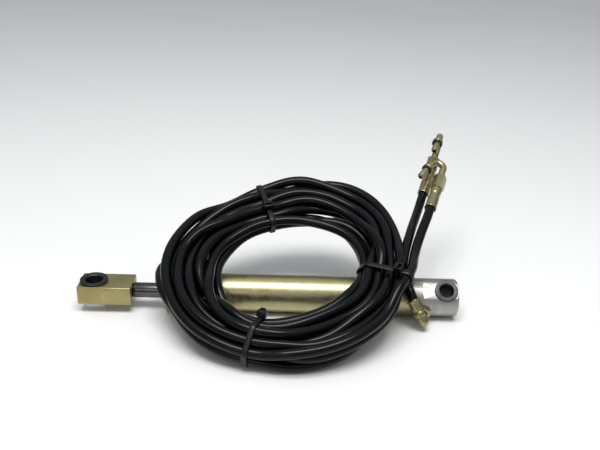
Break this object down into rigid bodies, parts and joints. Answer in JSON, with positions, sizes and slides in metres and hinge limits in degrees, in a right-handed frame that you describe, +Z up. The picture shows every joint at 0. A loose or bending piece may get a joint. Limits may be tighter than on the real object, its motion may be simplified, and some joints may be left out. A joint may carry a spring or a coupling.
{
  "type": "hydraulic linear actuator",
  "caption": "Double-acting hydraulic cylinder with a rod eye block, a base eye, and two long pressure hoses wound into a tied coil; pushes and pulls along one line.",
  "frame": {"origin": "on the surface it lies on, midway between the cylinder's two ends and between its two side ports", "axes": "+X along the cylinder from the rod eye to the base eye, +Y to the side away from the base port, +Z up"},
  "size_m": [0.2509, 0.1897, 0.0923],
  "materials": {
    "yellow_zinc": "yellow passivated zinc, satin",
    "machined_steel": "bare machined",
    "dark_steel": "dark, lightly oiled",
    "chrome_rod": "hard chrome, polished",
    "seal_rubber": "matte",
    "hose_rubber": "smooth, glossy cover",
    "nylon": "moulded",
    "bronze": "sintered",
    "guide_plastic": "filled plastic"
  },
  "bodies": {
    "barrel": {"barrel_tube": "yellow_zinc", "rod_port_boss": "yellow_zinc", "end_cap": "machined_steel", "base_eye_bush": "dark_steel", "end_cap_o_ring": "seal_rubber", "rod_gland": "machined_steel", "gland_o_ring": "seal_rubber", "rod_seal": "seal_rubber", "rod_wiper": "seal_rubber", "rod_guide_bush": "bronze", "gland_snap_ring": "dark_steel", "base_port_pipe": "yellow_zinc", "base_port_nut": "yellow_zinc", "base_port_o_ring": "seal_rubber", "base_port_ferrule": "yellow_zinc", "rod_port_pipe": "yellow_zinc", "rod_port_nut": "yellow_zinc", "rod_port_o_ring": "seal_rubber", "rod_port_ferrule": "yellow_zinc", "hose_coil": "hose_rubber", "hose_a_lead": "hose_rubber", "hose_b_lead": "hose_rubber", "hose_a_tail": "hose_rubber", "hose_b_tail": "hose_rubber", "hose_a_ferrule": "yellow_zinc", "hose_a_hex_nipple": "yellow_zinc", "hose_a_end_pipe": "yellow_zinc", "hose_a_o_ring": "seal_rubber", "hose_b_ferrule": "yellow_zinc", "hose_b_hex_nipple": "yellow_zinc", "hose_b_end_pipe": "yellow_zinc", "hose_b_o_ring": "seal_rubber", "cable_tie_top": "nylon", "cable_tie_right": "nylon", "cable_tie_bottom": "nylon"},
    "piston_seals": {"piston_seal": "seal_rubber", "piston_guide_ring": "guide_plastic"},
    "rod": {"piston_rod": "chrome_rod", "piston": "machined_steel", "piston_nut": "dark_steel", "piston_o_ring": "seal_rubber", "rod_end_block": "yellow_zinc", "rod_eye_bush": "dark_steel"}
  },
  "joints": [
    {"name": "rod_slide", "type": "slide", "parent": "barrel", "child": "piston_seals", "axis": [-1, 0, 0], "range_m": [0, 0.108]},
    {"name": "rod_turn", "type": "hinge", "parent": "piston_seals", "child": "rod", "pos_m": [-0.0788, 0, 0.0125], "axis": [-1, 0, 0], "continuous": true}
  ]
}
